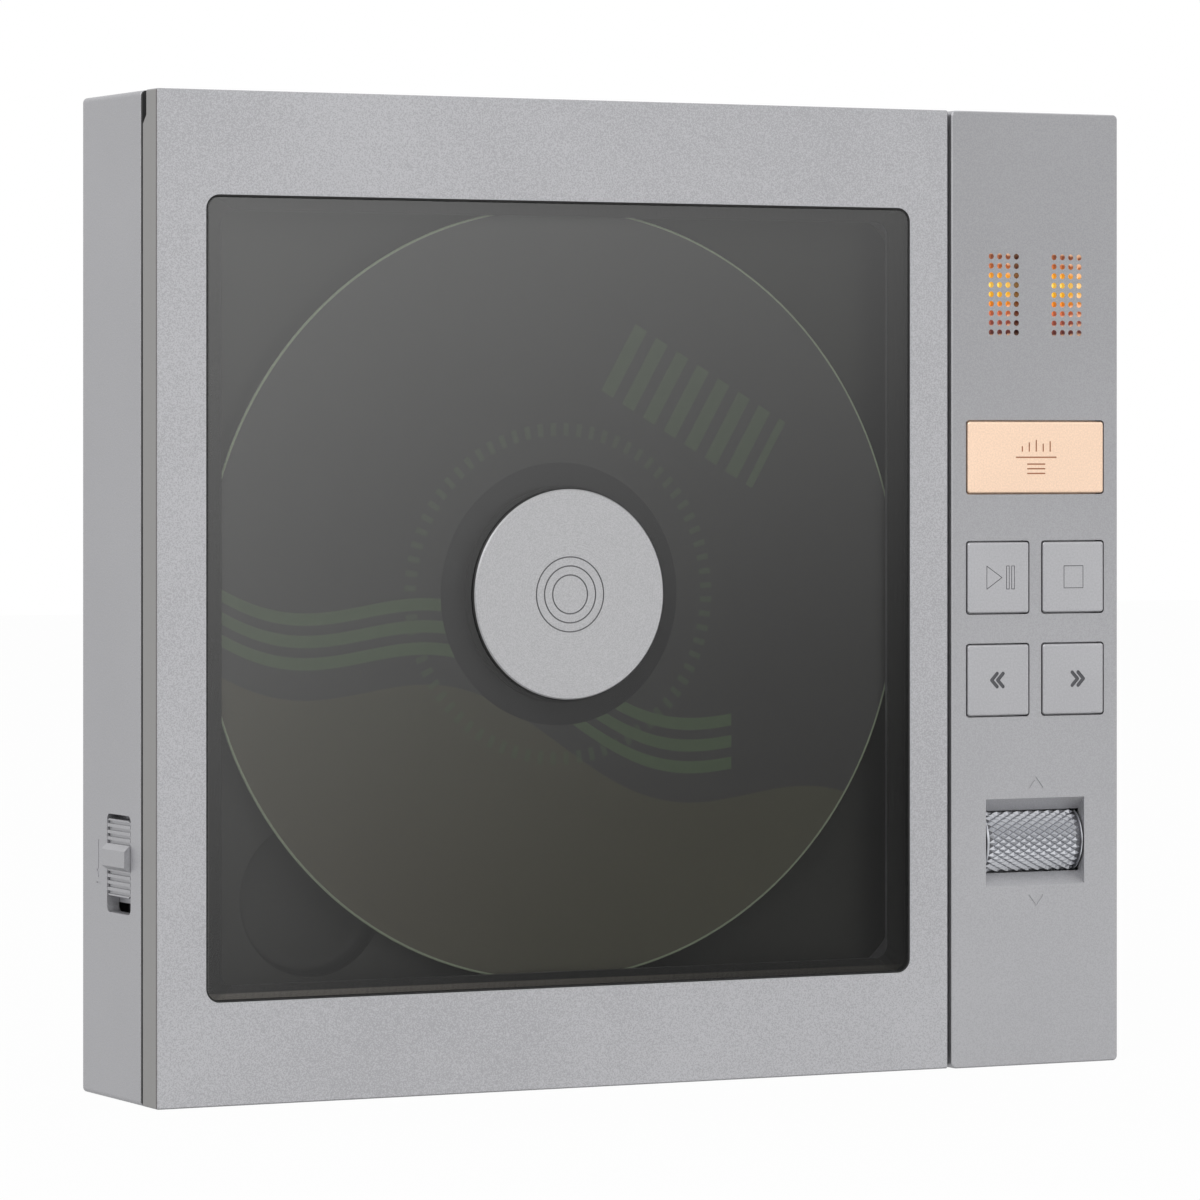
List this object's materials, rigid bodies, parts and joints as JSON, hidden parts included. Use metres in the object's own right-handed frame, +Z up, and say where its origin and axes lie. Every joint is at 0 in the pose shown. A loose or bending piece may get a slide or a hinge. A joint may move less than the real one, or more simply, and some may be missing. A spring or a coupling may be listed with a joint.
{
  "type": "portable disc player",
  "caption": "Upright portable disc player with a hinged glass lid, a round centre cap, push buttons, a knurled wheel and two glowing grilles.",
  "frame": {"origin": "middle of the case's bottom face, half way along its width and its depth", "axes": "+X to the right along the width, +Y from the lid's glass to the rear cover, +Z up"},
  "size_m": [0.169, 0.0312, 0.1532],
  "materials": {
    "case_metal": "anodised, fine blasted",
    "cap_metal": "anodised, satin",
    "hinge_metal": "anodised",
    "copper_metal": "copper-coloured anodised",
    "button_metal": "anodised, satin",
    "wheel_metal": "knurled, bright",
    "smoked_glass": "smoked, polished",
    "tube_glass": "clear",
    "tube_metal": "dark grey",
    "lead_wire": "drawn wire",
    "amber_lamp": "glowing amber",
    "pale_rubber": "soft",
    "black_rubber": "matt",
    "screw_steel": "turned",
    "plated_steel": "zinc plated",
    "ground_steel": "ground",
    "spring_steel": "drawn wire",
    "magnet_metal": "nickel plated",
    "tray_plastic": "fine texture",
    "black_plastic": "moulded",
    "white_plastic": "moulded",
    "socket_plastic": "moulded",
    "lens_plastic": "coated lens",
    "board_green": "solder mask",
    "battery_wrap": "wrapped",
    "disc_label": "printed"
  },
  "bodies": {
    "housing": {"main_housing": "case_metal", "rear_cover": "case_metal", "rear_cover_screws": "screw_steel", "rubber_feet": "black_rubber", "inner_screws": "screw_steel", "disc_tray": "tray_plastic", "mechanism_deck": "plated_steel", "deck_dampers": "black_rubber", "spindle_motor": "plated_steel", "guide_rods": "ground_steel", "rod_clamps": "black_plastic", "sled_motor": "plated_steel", "main_circuit_board": "board_green", "board_components": "black_plastic", "battery_pack": "battery_wrap", "tube_board": "board_green", "tube_envelopes": "tube_glass", "tube_electrodes": "tube_metal", "tube_leads": "lead_wire", "tube_sleeves": "pale_rubber", "tube_lamps": "amber_lamp", "key_board": "board_green", "key_switches": "black_plastic", "wheel_bracket": "plated_steel", "wheel_encoder": "black_plastic", "headphone_jack": "socket_plastic", "balanced_jack": "socket_plastic", "usb_port": "plated_steel", "latch_guide": "black_plastic", "latch_spring": "spring_steel", "hinge_pins": "ground_steel", "lid_buffers": "black_rubber", "lid_seal": "black_rubber", "lid_sensor": "black_plastic"},
    "lid": {"lid_frame": "case_metal", "window_glass": "smoked_glass", "window_gasket": "black_rubber", "centre_cap": "cap_metal", "clamp_retainer": "black_plastic", "lid_catch": "plated_steel", "hinge_arms": "hinge_metal", "lid_magnet": "magnet_metal"},
    "clamp": {"clamp_rotor": "white_plastic", "clamp_magnet": "magnet_metal"},
    "spindle": {"turntable": "black_plastic", "disc_pad": "black_rubber", "spindle_shaft": "ground_steel", "disc": "disc_label"},
    "sled": {"pickup_sled": "black_plastic"},
    "lens": {"objective_lens": "lens_plastic"},
    "sled_gear": {"sled_gear": "white_plastic"},
    "motor_pinion": {"motor_pinion": "white_plastic"},
    "menu_button": {"menu_button": "copper_metal"},
    "play_button": {"play_button": "button_metal"},
    "stop_button": {"stop_button": "button_metal"},
    "previous_button": {"previous_button": "button_metal"},
    "next_button": {"next_button": "button_metal"},
    "wheel": {"volume_wheel": "wheel_metal", "wheel_axle": "ground_steel"},
    "open_slider": {"open_slider": "button_metal"}
  },
  "joints": [
    {"name": "lid_hinge", "type": "hinge", "parent": "housing", "child": "lid", "pos_m": [-0.0158, -0.00698, 0.151], "axis": [-1, 0, 0], "range_deg": [0, 85]},
    {"name": "spindle_spin", "type": "hinge", "parent": "housing", "child": "spindle", "pos_m": [-0.0153, -0.00997, 0.0766], "axis": [0, 1, 0], "continuous": true},
    {"name": "clamp_spin", "type": "hinge", "parent": "lid", "child": "clamp", "pos_m": [-0.0153, -0.01298, 0.0766], "axis": [0, 1, 0], "continuous": true},
    {"name": "sled_slide", "type": "slide", "parent": "housing", "child": "sled", "axis": [1, 0, 0], "range_m": [0, 0.033]},
    {"name": "lens_focus", "type": "slide", "parent": "sled", "child": "lens", "axis": [0, 1, 0], "range_m": [-0.0004, 0.0004], "stiffness_N_per_m": 40},
    {"name": "sled_gear_spin", "type": "hinge", "parent": "housing", "child": "sled_gear", "pos_m": [0.019, -0.00198, 0.1061], "axis": [0, 1, 0], "range_deg": [-632, 1]},
    {"name": "motor_pinion_spin", "type": "hinge", "parent": "housing", "child": "motor_pinion", "pos_m": [0.0144, -0.00097, 0.11407], "axis": [0, 1, 0], "range_deg": [-1, 2270]},
    {"name": "wheel_spin", "type": "hinge", "parent": "housing", "child": "wheel", "pos_m": [0.06855, -0.00937, 0.0359], "axis": [1, 0, 0], "continuous": true},
    {"name": "open_slider_slide", "type": "slide", "parent": "housing", "child": "open_slider", "axis": [0, 0, -1], "range_m": [0, 0.0024], "stiffness_N_per_m": 300, "springref_m": -0.003, "deforming": ["latch_spring"]},
    {"name": "menu_press", "type": "slide", "parent": "housing", "child": "menu_button", "axis": [0, 1, 0], "range_m": [0, 0.00035], "stiffness_N_per_m": 800, "springref_m": -0.0006},
    {"name": "play_press", "type": "slide", "parent": "housing", "child": "play_button", "axis": [0, 1, 0], "range_m": [0, 0.00035], "stiffness_N_per_m": 800, "springref_m": -0.0006},
    {"name": "stop_press", "type": "slide", "parent": "housing", "child": "stop_button", "axis": [0, 1, 0], "range_m": [0, 0.00035], "stiffness_N_per_m": 800, "springref_m": -0.0006},
    {"name": "previous_press", "type": "slide", "parent": "housing", "child": "previous_button", "axis": [0, 1, 0], "range_m": [0, 0.00035], "stiffness_N_per_m": 800, "springref_m": -0.0006},
    {"name": "next_press", "type": "slide", "parent": "housing", "child": "next_button", "axis": [0, 1, 0], "range_m": [0, 0.00035], "stiffness_N_per_m": 800, "springref_m": -0.0006}
  ],
  "couplings": [
    {"joint": "clamp_spin", "follows": "spindle_spin", "ratio": 1},
    {"joint": "sled_gear_spin", "follows": "sled_slide", "rad_per_m": -333.33},
    {"joint": "motor_pinion_spin", "follows": "sled_slide", "rad_per_m": 1200}
  ]
}
